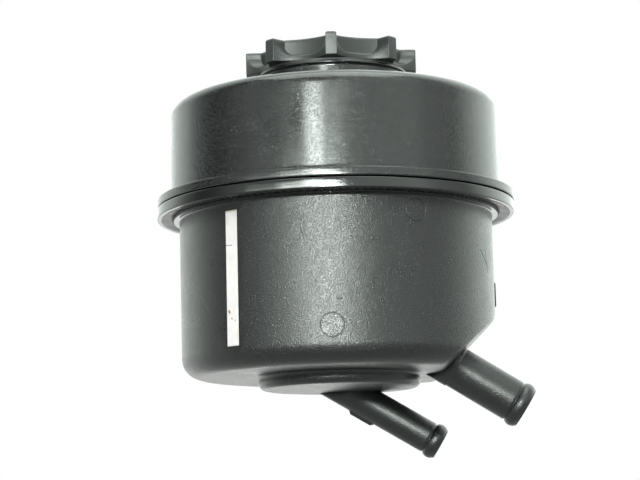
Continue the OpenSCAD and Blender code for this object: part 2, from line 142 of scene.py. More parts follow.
# Spigots: where each axis leaves the bowl, its slope, and the tube's sizes
SUCTION = dict(root=(42.53 * MM, 0, -56.9 * MM), slope=32.3, r=8.0 * MM, bore=6.0 * MM,
               length=32.8 * MM, root_step=0.35 * MM, root_length=2.1 * MM, seam=0.0)
RETURN = dict(root=(4.2 * MM, 21 * MM, -65.4 * MM), slope=31.1, r=6.2 * MM, bore=4.4 * MM,
              length=40.5 * MM, root_step=0.0, root_length=0.0, seam=1.1 * MM)
SEAM_FROM, SEAM_TO = 3.0 * MM, 14.0 * MM
SEAM_WIDTH = 0.11
BEAD_W = 4.3 * MM
BEAD_H = 0.8 * MM
BEAD_INSET = 0.6 * MM
GROOVE_W = 0.9 * MM
MOUTH_ROUND = 0.3 * MM

# Strip label, seen from above: degrees round the axis from the front towards the left
LABEL_FROM, LABEL_TO = -42.0, -36.85
LABEL_TOP, LABEL_BOTTOM = -3.5 * MM, -52.7 * MM

# Marks on the lower bowl, at an azimuth in degrees from the front and a height in mm.
# Ejector marks: azimuth, height, radius in mm
EJECTORS = ((-2.46, -47.3, 4.0), (28.3, -5.8, 3.9))
FAINT_EJECTOR = (-33.5, -8, 3.6)
# Scratches and the two parting lines: start, end, half width in mm, rise in bump heights
SCRATCHES = (
    ((62.0, -17.5), (69.8, -23.6), 0.20, -9.0), ((66.5, -17.0), (69.0, -25.0), 0.12, -3.0),
    ((-0.2, -38.2), (1.0, -38.2), 0.10, -1.5), ((-24.0, -20.5), (-21.0, -24.0), 0.05, -0.8),
    ((-13.0, -12.0), (-11.5, -16.5), 0.05, -0.6), ((14.0, -26.0), (17.5, -27.0), 0.05, -0.8),
    ((-57.0, -33.0), (-52.5, -38.5), 0.08, -2.0),
    ((87.5, -1.0), (87.5, -60.0), 0.10, 2.5), ((-87.5, -1.0), (-87.5, -60.0), 0.10, 2.5))
NECK_SEAM = ((-24.3, 46), (-24.3, 56), 0.1, 2.0)

# Marks on the label: start, end, half width in mm, colour
LABEL_STAINS = (
    ((-42.0, -16.1), (-39.2, -16.3), 0.12, (0.16, 0.17, 0.2)),
    ((-41.0, -40.0), (-40.8, -40.6), 0.30, (0.30, 0.16, 0.05)),
    ((-39.9, -42.7), (-39.6, -42.9), 0.18, (0.38, 0.22, 0.08)),
    ((-38.3, -43.5), (-38.2, -43.7), 0.15, (0.38, 0.22, 0.08)),
    ((-42.0, -3.4), (-36.9, -3.4), 0.60, (0.80, 0.76, 0.60)),
    ((-37.4, -47.0), (-37.4, -51.0), 0.12, (0.72, 0.66, 0.5)))

# Camera: the photograph's place, pitch, roll and focal length in pixels of its own frame
CAMERA_PLACE = (-6.21 * MM, -748.8 * MM, -122.9 * MM)
CAMERA_PITCH = math.radians(8.722)
CAMERA_ROLL = math.radians(-1.359)
FOCAL_PIXELS = 1972
IMAGE_WIDTH = 640
SENSOR = 36.0

# Softboxes: name, azimuth and elevation in degrees, distance in metres, width and height in
# degrees, radiance
SOFTBOXES = (
    ("key high", -13.8, 12.8, 1.4, 11.0, 8, 25),
    ("key low", -4.5, 4.9, 1.4, 13, 6, 175),
    ("key middle", -7.0, 9.4, 1.4, 12, 2.6, 14),
    ("panel near", -22, 5.5, 1.5, 24, 9, 20),
    ("panel far", -44, 5.5, 1.6, 24, 8, 4),
    ("top", 0, 78, 1.4, 55, 45, 5))

# Room that the reflections show: level at an azimuth in degrees, 0 the camera's side, + right.
# White in its colour ramp stands for the peak, and below the horizon a share of it is left.
ROOM_LEVELS = ((-180, 1.9), (-125, 1.9), (-112, 0.8), (-96, 0.2), (-84, 0.25), (-63, 1.1),
               (-30, 0.9), (-9, 0.9), (16, 2.0), (55, 2.5), (66, 1.6), (90, 0.9), (107, 2.2),
               (122, 2.9), (144, 2.6), (179.9, 2.2))
ROOM_PEAK = 3.0
ROOM_BELOW = 0.15
LIGHT_TINT = (0.92, 1.0, 0.945)
# Level of the diffuse light
FILL = 1.15

FLOOR_Z = -0.2
FLOOR_NEAR, FLOOR_FAR, FLOOR_SIDE = -0.55, 6.0, 4.0
# Glow of the floor in reflections: between two depths it grows or falls by an amount
FLOOR_GLOW = ((-0.16, -0.02, 0.1), (0.25, 0.6, 1.2), (1.35, 1.7, -1.2))


# Outlines, as arrays of (radius, height)
def line(start, end, count):
    """Points evenly spaced on a straight line, both ends included."""
    share = np.linspace(0, 1, count)[:, None]
    return np.array(start) * (1 - share) + np.array(end) * share


def arc(centre, size, start, end, count):
    """Points on an ellipse about a centre: centre + (a cos t, b sin t), t in degrees."""
    t = np.radians(np.linspace(start, end, count))
    a, b = size if np.ndim(size) else (size, size)
    return np.stack([centre[0] + a * np.cos(t), centre[1] + b * np.sin(t)], 1)


def outline(*parts):
    """Joins stretches of an outline and drops points that repeat the one before."""
    points = np.concatenate(parts)
    step = np.linalg.norm(np.diff(points, axis=0), axis=1)
    return points[np.concatenate([[True], step > 1e-7])]


def soft_max(a, b, softness):
    """Larger of two arrays, blended where they differ by less than softness."""
    blend = np.clip(softness - np.abs(a - b), 0, None) ** 2 / (4 * softness)
    return np.maximum(a, b) + blend


# Skins, as grids of points
def angles(sides):
    """Angles evenly spaced round the circle, from +X towards +Y."""
    return np.arange(sides) * 2 * math.pi / sides


def polar(r, a, z):
    """Points at a radius, angle and height, given as arrays that fit together."""
    return np.stack(np.broadcast_arrays(r * np.cos(a), r * np.sin(a), z), -1)


def turned(profile, a):
    """Turns an outline (r, z) about Z: point (i, j) is the outline's point j at angle a[i]."""
    return polar(profile[:, 0], a[:, None], profile[:, 1])


def skin(name, grid, along=False, sharp=None):
    """Closed mesh over grid[i, j], whose last i joins the first. Along joins the last j to the
    first, and without it a fan about its middle closes each end column j."""
    rows, columns = grid.shape[:2]
    index = np.arange(rows * columns).reshape(rows, columns)
    points = [grid.reshape(-1, 3)]
    ends = []
    for column in (0, columns - 1):
        if not along:
            ends.append((column, rows * columns + len(points) - 1))
            points.append(grid[:, column].mean(0)[None])
    j = np.arange(columns if along else columns - 1)
    i, j = (k.ravel() for k in np.meshgrid(np.arange(rows), j, indexing="ij"))
    i1, j1 = (i + 1) % rows, (j + 1) % columns
    quads = np.stack([index[i, j], index[i1, j], index[i1, j1], index[i, j1]], 1)
    triangles = []
    k = np.arange(rows)
    for column, end in ends:
        a, b = index[k, column], index[(k + 1) % rows, column]
        pair = (b, a) if column == 0 else (a, b)
        triangles.append(np.stack([*pair, np.full(rows, end)], 1))
    return mesh_piece(name, np.concatenate(points), quads,
                      np.concatenate(triangles) if triangles else np.zeros((0, 3), int), sharp)


def mesh_piece(name, points, quads, triangles, sharp=None):
    """Object from arrays of points and faces, wound so that its volume is positive."""
    fans = np.concatenate([triangles, quads[:, [0, 1, 2]], quads[:, [0, 2, 3]]])
    a, b, c = (points[fans[:, k]] for k in range(3))
    if np.einsum("ij,ij->i", a, np.cross(b, c)).sum() < 0:
        quads, triangles = quads[:, ::-1], triangles[:, ::-1]
    mesh = bpy.data.meshes.new(name)
    corners = np.concatenate([quads.ravel(), triangles.ravel()])
    sizes = np.concatenate([np.full(len(quads), 4), np.full(len(triangles), 3)])
    mesh.vertices.add(len(points))
    mesh.vertices.foreach_set("co", points.astype(np.float32).ravel())
    mesh.loops.add(len(corners))
    mesh.loops.foreach_set("vertex_index", corners.astype(np.int32))
    mesh.polygons.add(len(sizes))
    mesh.polygons.foreach_set("loop_start", (np.cumsum(sizes) - sizes).astype(np.int32))
    mesh.polygons.foreach_set("loop_total", sizes.astype(np.int32))
    mesh.update(calc_edges=True)
    mesh.validate()
    mesh.shade_smooth()
    if sharp:
        mesh.set_sharp_from_angle(angle=math.radians(sharp))
    piece = bpy.data.objects.new(name, mesh)
    bpy.context.scene.collection.objects.link(piece)
    return piece


def weld_poles(piece):
    """Merges points that fall together, such as a column of them on the axis."""
    work = bmesh.new()
    work.from_mesh(piece.data)
    bmesh.ops.remove_doubles(work, verts=work.verts, dist=1e-6)
    work.to_mesh(piece.data)
    work.free()
    piece.data.shade_smooth()
    return piece


def fit(piece, body, slot, look, *nodes):
    """Rides the piece on its body, gives it the material and hides the nodes that it stands for.
    The slot is not used.
    """
    piece.data.materials.clear()
    piece.data.materials.append(look)
    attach(piece, body)
    if nodes:
        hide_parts(*nodes)
    return piece


# Bowls
def cut_facet(grid, inset):
    """Moves points that lie past the facet's plane straight back onto it, with a rounded edge.
    The plane rises from the foot line at the facet's angle; inset shifts it inwards."""
    past = soft_max((grid - FACET_FOOT) @ FACET_NORMAL + inset, 0, FACET_SOFTNESS)
    return grid - past[..., None] * FACET_NORMAL


def lower_bowl_outside():
    """From the middle of the sump's underside out and up to the weld seam."""
    corner = BOWL_FOOT_R - BOTTOM_ROUND
    fillet = (BOWL_TOP_R + COLLAR_FILLET, -COLLAR_H - COLLAR_FILLET)
    return outline(
        line((0, SUMP_Z), (SUMP_R - SUMP_ROUND, SUMP_Z), 16),
        arc((SUMP_R - SUMP_ROUND, SUMP_Z + SUMP_ROUND), SUMP_ROUND, -90, 0, 12),
        line((SUMP_R, SUMP_Z + SUMP_ROUND), (SUMP_R, BOTTOM_Z - SUMP_FILLET), 5),
        arc((SUMP_R + SUMP_FILLET, BOTTOM_Z - SUMP_FILLET), SUMP_FILLET, 180, 90, 8),
        line((SUMP_R + SUMP_FILLET, BOTTOM_Z), (corner, BOTTOM_Z), 24),
        arc((corner, BOTTOM_Z + BOTTOM_ROUND), BOTTOM_ROUND, -90, 0, 30),
        line((BOWL_FOOT_R, BOTTOM_Z + BOTTOM_ROUND), (BOWL_TOP_R, fillet[1]), 56),
        arc(fillet, COLLAR_FILLET, 180, 90, 5),
        line((fillet[0], -COLLAR_H), (COLLAR_R - COLLAR_ROUND, -COLLAR_H), 4),
        arc((COLLAR_R - COLLAR_ROUND, -COLLAR_H + COLLAR_ROUND), COLLAR_ROUND, -90, 0, 4),
        line((COLLAR_R, -0.5 * MM), (COLLAR_R, 0), 3),
        line((COLLAR_R + 0.1 * MM, 0), (FLANGE_R - FLANGE_EDGE, 0), 8),
        arc((FLANGE_R - FLANGE_EDGE, FLANGE_EDGE), FLANGE_EDGE, -90, 0, 5),
        line((FLANGE_R, FLANGE_EDGE), (FLANGE_R, LOWER_FLANGE_TOP - FLANGE_EDGE), 4),
        arc((FLANGE_R - FLANGE_EDGE, LOWER_FLANGE_TOP - FLANGE_EDGE), FLANGE_EDGE, 0, 90, 5),
        line((FLANGE_R - FLANGE_EDGE, LOWER_FLANGE_TOP), (SEAM_R, LOWER_FLANGE_TOP), 4),
        line((SEAM_R, LOWER_FLANGE_TOP), (SEAM_R, SEAM_Z), 2))


def lower_bowl_inside():
    """From the weld seam in and down to the middle of the sump's floor."""
    inner = BOWL_TOP_R - WALL
    floor = BOTTOM_Z + WALL
    round_in = BOTTOM_ROUND - WALL
    return outline(
        line((SEAM_R, SEAM_Z), (inner, SEAM_Z), 6),
        line((inner, SEAM_Z), (inner, floor + round_in), 24),
        arc((inner - round_in, floor + round_in), round_in, 0, -90, 10),
        line((inner - round_in, floor), (SUMP_R - WALL, floor), 12),
        line((SUMP_R - WALL, floor), (SUMP_R - WALL, SUMP_Z + WALL), 3),
        line((SUMP_R - WALL, SUMP_Z + WALL), (0, SUMP_Z + WALL), 6))


def make_lower_bowl():
    """Turned outline, outside and inside, each cut back onto its own facet plane."""
    outer = cut_facet(turned(lower_bowl_outside(), angles(BOWL_SIDES)), 0)
    inner = cut_facet(turned(lower_bowl_inside(), angles(BOWL_SIDES)), WALL)
    return weld_poles(skin("lower_shell", np.concatenate([outer, inner], 1)))


def upper_bowl_outline():
    """From the weld seam up the outside, over the neck's mouth and down the inside."""
    flange_in = UPPER_R + UPPER_FILLET
    ceiling = UPPER_TOP - WALL
    shoulder = (SHOULDER_R - SHOULDER_WIDTH, UPPER_TOP - SHOULDER_HEIGHT)
    inner = UPPER_R - WALL
    return outline(
        line((SEAM_R, SEAM_Z), (FLANGE_R - FLANGE_EDGE, SEAM_Z), 4),
        arc((FLANGE_R - FLANGE_EDGE, SEAM_Z + FLANGE_EDGE), FLANGE_EDGE, -90, 0, 5),
        line((FLANGE_R, SEAM_Z + FLANGE_EDGE), (FLANGE_R, UPPER_FLANGE_TOP - FLANGE_EDGE), 4),
        arc((FLANGE_R - FLANGE_EDGE, UPPER_FLANGE_TOP - FLANGE_EDGE), FLANGE_EDGE, 0, 90, 5),
        line((FLANGE_R - FLANGE_EDGE, UPPER_FLANGE_TOP), (flange_in, UPPER_FLANGE_TOP), 6),
        arc((flange_in, UPPER_FLANGE_TOP + UPPER_FILLET), UPPER_FILLET, -90, -180, 6),
        line((UPPER_R, UPPER_FLANGE_TOP + UPPER_FILLET), (SHOULDER_R, shoulder[1]), 40),
        arc(shoulder, (SHOULDER_WIDTH, SHOULDER_HEIGHT), 0, 90, 24),
        line((shoulder[0], UPPER_TOP), (NECK_R + NECK_FILLET, UPPER_TOP), 18),
        arc((NECK_R + NECK_FILLET, UPPER_TOP + NECK_FILLET), NECK_FILLET, -90, -180, 6),
        line((NECK_R, UPPER_TOP + NECK_FILLET), (NECK_R, NECK_TOP - NECK_BEAD_H), 10),
        line((NECK_BEAD_R, NECK_TOP - NECK_BEAD_H), (NECK_BEAD_R, NECK_TOP - 0.2 * MM), 3),
        line((NECK_BEAD_R - 0.2 * MM, NECK_TOP), (NECK_BORE_R + NECK_EDGE, NECK_TOP), 3),
        arc((NECK_BORE_R + NECK_EDGE, NECK_TOP - NECK_EDGE), NECK_EDGE, 90, 180, 4),
        line((NECK_BORE_R, NECK_TOP - NECK_EDGE), (NECK_BORE_R, ceiling), 8),
        line((NECK_BORE_R, ceiling), (inner - WALL, ceiling), 14),
        arc((inner - WALL, ceiling - WALL), WALL, 90, 0, 8),
        line((inner, ceiling - WALL), (inner, SEAM_Z), 24),
        line((inner, SEAM_Z), (SEAM_R - 0.5 * MM, SEAM_Z), 5))


def make_upper_bowl():
    grid = turned(upper_bowl_outline(), angles(BOWL_SIDES)) + UPPER_SHIFT
    return skin("upper_shell", grid, along=True)


def make_key():
    """Small rounded block on the wall, as a grid round its four sides, closed front and back."""
    width, proud, tall = KEY_SIZE
    t = np.radians(np.arange(0, 360, 15))
    quarter = np.sign(np.stack([np.cos(t + 0.01), np.sin(t + 0.01)], 1))
    ring = (np.stack([np.cos(t), np.sin(t)], 1) * KEY_CORNER
            + quarter * (np.array([width, tall]) / 2 - KEY_CORNER))
    depths = (BOWL_FOOT_R - 1.0 * MM, BOWL_FOOT_R + proud - KEY_EDGE, BOWL_FOOT_R + proud)
    scales = (1.0, 1.0, 0.9)
    tangent = np.array([-math.sin(KEY_ANGLE), math.cos(KEY_ANGLE), 0])
    outward = np.array([math.cos(KEY_ANGLE), math.sin(KEY_ANGLE), 0])
    grid = np.stack([depth * outward + (ring[:, :1] * scale) * tangent
                     + (ring[:, 1:] * scale + KEY_Z) * np.array([0, 0, 1])
                     for depth, scale in zip(depths, scales)], 1)
    return skin("key", grid, sharp=40)


def make_teeth():
    """Ring of radial teeth: a band under the flange whose lower side dips by the tooth's height
    and comes back to the flange once per tooth, with steep sides."""
    per_tooth = 10
    a = angles(TOOTH_COUNT * per_tooth)
    bite = np.clip(0.5 + 1.2 * np.cos(a * TOOTH_COUNT), 0, 1)[:, None] * TOOTH_H
    r = np.array([TOOTH_FROM, TOOTH_FROM, TOOTH_TO - 0.3 * MM, TOOTH_TO, TOOTH_TO])
    deep = np.array([0, 1, 1, 0.6, 0])
    z = np.where(deep > 0, -bite * deep, 0.4 * MM)
    return skin("teeth", polar(r, a[:, None], z), along=True)


# Spigots
def plane_reach(grid, axis, point, normal):
    """How far along the axis from each point of the grid a plane lies."""
    return (point - grid) @ normal / (axis @ normal)


def make_spigot(name, size, planes):
    """Turned tube about its own axis, with a bead, a groove behind it and a bore, tipped over so
    that the axis slopes down along +X. Its inner end is drawn out to lie inside the bowl's wall,
    behind the given planes of the wall's middle."""
    r, bore, length = size["r"], size["bore"], size["length"]
    half = BEAD_W / 2
    bead_mid = length - BEAD_INSET - half
    step, root_end = size["root_step"], size["root_length"]
    bead_arc = (half ** 2 + BEAD_H ** 2) / 2 / BEAD_H
    lean = math.degrees(math.asin(half / bead_arc))
    tip_round, groove = 0.5 * MM, 0.35 * MM
    back = outline(line((bore, 0), (r + step, 0), 5))
    profile = outline(
        line((r + step, 0.5 * root_end), (r + step, root_end), 4),
        line((r, root_end + step), (r, bead_mid - half - GROOVE_W), 60),
        line((r, bead_mid - half - GROOVE_W), (r - groove, bead_mid - half - 0.3 * MM), 3),
        line((r - groove, bead_mid - half), (r, bead_mid - half), 3),
        arc((r + BEAD_H - bead_arc, bead_mid), bead_arc, -lean, lean, 18),
        line((r, bead_mid + half), (r - 0.1 * MM, length - tip_round), 3),
        arc((r - 0.1 * MM - tip_round, length - tip_round), tip_round, 0, 90, 5),
        line((r - 0.1 * MM - tip_round, length), (bore + MOUTH_ROUND, length), 4),
        arc((bore + MOUTH_ROUND, length - MOUTH_ROUND), MOUTH_ROUND, 90, 180, 4),
        line((bore, length - MOUTH_ROUND), (bore, 0.5 * root_end), 24))
    a = angles(SPIGOT_SIDES)
    grid = turned(profile, a)
    # Parting rib along the lower side: radius grows by a narrow bump, from one place to another
    away = (a + math.pi) % (2 * math.pi) - math.pi
    rib = size["seam"] * np.exp(-(away / SEAM_WIDTH) ** 2)[:, None] * (
        np.clip((grid[..., 2] - SEAM_FROM) / MM, 0, 1)
        * np.clip((SEAM_TO - grid[..., 2]) / MM, 0, 1))
    outer = np.linalg.norm(grid[..., :2], axis=2) > r - 0.01 * MM
    grid[..., 0] += rib * outer * np.cos(a)[:, None]
    grid[..., 1] += rib * outer * np.sin(a)[:, None]
    grid = np.concatenate([turned(back, a), grid], 1)
    place = Matrix.Translation(Vector(size["root"])) @ Matrix.Rotation(
        math.radians(90 + size["slope"]), 4, "Y")
    turn, shift = np.array(place.to_3x3()), np.array(place.translation)
    grid = grid @ turn.T + shift
    axis = turn[:, 2]
    ends = grid[:, :len(back)]
    reach = np.min([plane_reach(ends, axis, *plane) for plane in planes], 0)
    ends += reach[..., None] * axis
    return skin(name, grid, along=True)


# Cap
def cap_angles():
    """Angles round the cap, closest where the ribs' corners and sides are: for each half pitch
    the rib's face, its corner and side, the rounding at its root and the pocket."""
    pitch = 360 / RIB_COUNT
    half = np.concatenate([np.linspace(0, 2.6, 6)[:-1], np.linspace(2.6, 5.2, 34)[:-1],
                           np.linspace(5.2, 8, 8)[:-1], np.linspace(8, pitch / 2, 9)[:-1]])
    whole = np.sort(np.concatenate([half, pitch - half[:0:-1], [pitch / 2]]))
    return np.radians((np.arange(RIB_COUNT)[:, None] * pitch + whole).ravel())


def scoop(off_pocket, outer, inner):
    """Radius at an angle from a pocket's middle of the circle that passes through the inner
    radius in the middle and the outer one beside both ribs, so r is the smaller root of
    r^2 - 2 r c cos(angle) + c^2 = s^2, with the circle's centre at c and its radius s."""
    corner = math.pi / RIB_COUNT - math.asin(RIB_W / 2 / outer)
    centre = (outer ** 2 - inner ** 2) / 2 / (outer * math.cos(corner) - inner)
    size = centre - inner
    inside = np.clip(size ** 2 - (centre * np.sin(off_pocket)) ** 2, 0, None)
    scooped = centre * np.cos(off_pocket) - np.sqrt(inside)
    return np.where(np.abs(off_pocket) < corner, scooped, outer)


def star(off_pocket, inset):
    """Radius of the star at an angle from a pocket's middle: the rib's side is the line
    r sin(angle) = half its width, cut off at the tip, and the pocket's wall is a shallow scoop
    between the ribs. Inset shrinks all of them."""
    off_rib = math.pi / RIB_COUNT - np.abs(off_pocket)
    side = (RIB_W / 2 - inset) / np.maximum(np.sin(off_rib), 1e-4)
    rib = -soft_max(-side, inset - TIP_R, TIP_SOFTNESS)
    return soft_max(rib, scoop(off_pocket, POCKET_SIDE_R, POCKET_R) - inset, POCKET_SOFTNESS)


def rounding(distance, radius):
    """Height of a quarter-round fillet at a distance from the wall that it leads up to."""
    d = np.clip(distance, 0, radius)
    return radius - np.sqrt(radius ** 2 - (radius - d) ** 2)


def make_cap():
    """Star grip: for each angle, an outline that runs up the lip, in over the pocket's rounded
    floor, up the hub's or rib's wall, over the top edge, and down inside the hollow plug."""
    a = cap_angles()
    pitch = 2 * math.pi / RIB_COUNT
    off_pocket = (a % pitch) - pitch / 2
    off_rib = pitch / 2 - np.abs(off_pocket)
    wall = star(off_pocket, 0)
    lip = np.maximum(scoop(off_pocket, TIP_R, LIP_R), wall)
    lip = np.where(lip - wall < 0.05 * MM, wall, lip)
    columns = []

    def add_column(r, z):
        columns.append(polar(r, a, z))

    def floor_height(r):
        from_rib = r * np.sin(off_rib) - RIB_W / 2
        return GRIP_Z + LIP_H + np.maximum(rounding(from_rib, POCKET_ROUND),
                                           rounding(r - wall, HUB_ROUND))

    for r in np.linspace(PLUG_R, SKIRT_R, 3):
        add_column(r, GRIP_Z)
    for share in np.linspace(0.25, 1, 4):
        add_column(SKIRT_R * (1 - share) + (lip - LIP_EDGE) * share, GRIP_Z)
    for t in np.radians(np.linspace(-60, 0, 3)):
        add_column(lip - LIP_EDGE + LIP_EDGE * np.cos(t), GRIP_Z + LIP_EDGE + LIP_EDGE * np.sin(t))
    lip_top = floor_height(lip)
    add_column(lip, lip_top - 0.4 * MM)
    add_column(np.maximum(lip - 0.1 * MM, wall), lip_top - 0.1 * MM)
    for share in np.sin(np.radians(np.linspace(10, 90, 18))):
        r = np.maximum((lip - 0.25 * MM) * (1 - share) + wall * share, wall)
        add_column(r, floor_height(r))
    foot = floor_height(wall)
    for share in np.linspace(0, 1, 9)[1:]:
        add_column(wall, foot * (1 - share) + (GRIP_TOP - GRIP_ROUND) * share)
    for t in np.radians(np.linspace(0, 90, 7))[1:]:
        add_column(star(off_pocket, GRIP_ROUND * (1 - math.cos(t))),
                   GRIP_TOP - GRIP_ROUND * (1 - math.sin(t)))
    top_edge = star(off_pocket, GRIP_ROUND)
    for share in np.linspace(0, 1, 12)[1:]:
        add_column(top_edge * (1 - share), GRIP_TOP)
    top = np.stack(columns, 1)
    hollow_r = POCKET_R - CAP_WALL
    hollow = outline(
        line((0, GRIP_TOP - CAP_WALL), (hollow_r, GRIP_TOP - CAP_WALL), 8),
        line((hollow_r, GRIP_TOP - CAP_WALL), (hollow_r, PLUG_Z), 10),
        line((hollow_r, PLUG_Z), (PLUG_R - PLUG_EDGE, PLUG_Z), 3),
        arc((PLUG_R - PLUG_EDGE, PLUG_Z + PLUG_EDGE), PLUG_EDGE, -90, 0, 4),
        line((PLUG_R, PLUG_Z + PLUG_EDGE), (PLUG_R, GRIP_Z), 8))
    grid = np.concatenate([turned(hollow, a), top[:, 1:]], 1)
    return weld_poles(skin("cap_star", grid + CAP_SHIFT))


# Springs
def make_coil(name, low_r, high_r, low_z, high_z, wire, turns, flat):
    """Wire swept along a coil: radius and height grow with the turn, and with flat ends the
    first and last turn stay level and draw in or out as spirals."""
    steps, sides = 64, 12
    total = turns + 2 * flat
    u = np.linspace(0, total, total * steps + 1)
    spiral = 1.15 * wire * flat
    rise = np.clip(u - flat, 0, turns) / turns
    reach = (low_r + spiral * np.clip(u, 0, 1) + (high_r - low_r - 2 * spiral) * rise
             + spiral * np.clip(u - turns - flat, 0, None))
    height = low_z + wire / 2 + (high_z - low_z - wire) * rise
    t = angles(sides)
    r = reach[:, None] + wire / 2 * np.cos(t)
    z = height[:, None] + wire / 2 * np.sin(t)
    return skin(name, polar(r, 2 * math.pi * u[:, None], z).transpose(1, 0, 2))


# Strip label
def make_label():
    """Thin sheet on the lower bowl: a grid in angle and height, outer side then inner side."""
    thick, gap = 0.15 * MM, 0.03 * MM
    a = np.radians(np.linspace(LABEL_FROM, LABEL_TO, 16))
    z = np.linspace(LABEL_TOP, LABEL_BOTTOM, 60)
    a, z = np.meshgrid(a, z, indexing="ij")
    outer, inner = (np.stack([r * np.sin(a), -r * np.cos(a), z], 2)
                    for r in (BOWL_TOP_R + gap + thick, BOWL_TOP_R + gap))
    loop = np.concatenate([outer, inner[:, ::-1]], 1)
    return skin("strip", loop.transpose(1, 0, 2))


# Materials
def material(name):
    """New material, with the node tree that holds its Principled shader."""
    made = bpy.data.materials.new(name)
    made.use_nodes = True
    return made, made.node_tree


def add(tree, kind, settings=None, **inputs):
    """New node: settings are its own options, inputs are sockets by name or number, given a
    value or another node's output."""
    made = tree.nodes.new("ShaderNode" + kind)
    for key, value in (settings or {}).items():
        setattr(made, key, value)
    for key, value in inputs.items():
        socket = made.inputs[int(key[1:])] if key[0] == "_" else made.inputs[key.replace("_", " ")]
        if isinstance(value, bpy.types.NodeSocket):
            tree.links.new(value, socket)
        else:
            socket.default_value = value
    return made


def math_node(tree, operation, a, b=0.0, c=0.0):
    return add(tree, "Math", {"operation": operation}, _0=a, _1=b, _2=c).outputs[0]


def new_group(name, inputs, outputs):
    """Node group with named inputs (name, kind, value) and outputs (name, kind)."""
    group = bpy.data.node_groups.new(name, "ShaderNodeTree")
    for label, kind, value in inputs:
        socket = group.interface.new_socket(label, in_out="INPUT", socket_type="NodeSocket" + kind)
        socket.default_value = value
    for label, kind in outputs:
        group.interface.new_socket(label, in_out="OUTPUT", socket_type="NodeSocket" + kind)
    return group, group.nodes.new("NodeGroupInput"), group.nodes.new("NodeGroupOutput")


def use_group(tree, group, **inputs):
    return add(tree, "Group", {"node_tree": group}, **inputs)


def grain_group():
    """Moulded grain. Height is for Bump: fine bumps of an eroded tool face, and sparse pits whose
    sides catch the light. Specks is the pits' mask, and Spread is a slow change for colour and
    roughness."""
    group, given, put = new_group(
        "moulded grain", [("Scale", "Float", 2400.0), ("Fine", "Float", 1.0),
                          ("Pits", "Float", 0.5)],
        [("Height", "Float"), ("Spread", "Float"), ("Specks", "Float")])
    place = add(group, "TexCoord").outputs["Object"]
    fine = add(group, "TexNoise", Vector=place, Scale=given.outputs["Scale"], Detail=1.0,
               Roughness=0.6).outputs[0]
    shifted = add(group, "VectorMath", {"operation": "ADD"}, _0=place, _1=(7, 3, 5)).outputs[0]
    pit_scale = math_node(group, "MULTIPLY", given.outputs["Scale"], 0.75)
    sparse = add(group, "TexNoise", Vector=shifted, Scale=pit_scale, Detail=0.0).outputs[0]
    pits = add(group, "MapRange", {"interpolation_type": "SMOOTHSTEP"}, Value=sparse,
               From_Min=0.54, From_Max=0.66, To_Min=0.0, To_Max=1.0).outputs[0]
    group.links.new(pits, put.inputs["Specks"])
    pits = math_node(group, "MULTIPLY", pits, given.outputs["Pits"])
    height = math_node(group, "MULTIPLY_ADD", fine, given.outputs["Fine"], pits)
    group.links.new(height, put.inputs["Height"])
    slow = add(group, "TexNoise", Vector=place, Scale=90.0, Detail=3.0).outputs[0]
    group.links.new(slow, put.inputs["Spread"])
    return group


def mark_group():
    """Mask of a mark on a surface: 1 within a width of the line from start to end, and fading to
    0 over the edge. The same start and end make a disc."""
    group, given, put = new_group(
        "mark", [("Start", "Vector", (0, 0, 0)), ("End", "Vector", (0, 0, 0)),
                 ("Width", "Float", 0.001), ("Edge", "Float", 0.0002)], [("Mask", "Float")])
    place = add(group, "TexCoord").outputs["Object"]
    start, end = given.outputs["Start"], given.outputs["End"]
    along = add(group, "VectorMath", {"operation": "SUBTRACT"}, _0=end, _1=start).outputs[0]
    away = add(group, "VectorMath", {"operation": "SUBTRACT"}, _0=place, _1=start).outputs[0]
    dot = [add(group, "VectorMath", {"operation": "DOT_PRODUCT"}, _0=k, _1=along).outputs["Value"]
           for k in (away, along)]
    share = add(group, "Math", {"operation": "DIVIDE", "use_clamp": True}, _0=dot[0],
                _1=dot[1]).outputs[0]
    foot = add(group, "VectorMath", {"operation": "SCALE"}, _0=along, Scale=share).outputs[0]
    gap = add(group, "VectorMath", {"operation": "DISTANCE"}, _0=away, _1=foot).outputs["Value"]
    limit = math_node(group, "ADD", given.outputs["Width"], given.outputs["Edge"])
    mask = add(group, "MapRange", {"interpolation_type": "SMOOTHSTEP"}, Value=gap, From_Min=limit,
               From_Max=given.outputs["Width"], To_Min=0.0, To_Max=1.0).outputs[0]
    group.links.new(mask, put.inputs["Mask"])
    return group


def on_wall(azimuth, z, r):
    """Place on a round wall, from an azimuth in degrees from the front and a height in mm."""
    a = math.radians(azimuth)
    return (r * math.sin(a), -r * math.cos(a), z * MM)


def bowl_marks():
    """Ejector marks, each a rough rim round a smoother disc, then scratches and parting lines, as
    (start, end, half width, edge, rise, rougher)."""
    marks = []
    for azimuth, z, r in EJECTORS:
        centre = on_wall(azimuth, z, BOWL_FOOT_R)
        marks.append((centre, centre, (r + 0.3) * MM, 0.2 * MM, -0.7, 0.12))
        marks.append((centre, centre, r * MM, 0.2 * MM, 0.5, -0.15))
    azimuth, z, r = FAINT_EJECTOR
    centre = on_wall(azimuth, z, BOWL_TOP_R)
    marks.append((centre, centre, r * MM, 0.5 * MM, -0.3, 0.0))
    for start, end, width, rise in SCRATCHES:
        marks.append((on_wall(*start, BOWL_FOOT_R), on_wall(*end, BOWL_FOOT_R), width * MM,
                      0.25 * MM, rise, 0.06))
    return marks


def neck_marks():
    """The seam down the neck."""
    start, end, width, rise = NECK_SEAM
    return [(on_wall(*start, NECK_R), on_wall(*end, NECK_R), width * MM, 0.2 * MM, rise, 0.0)]


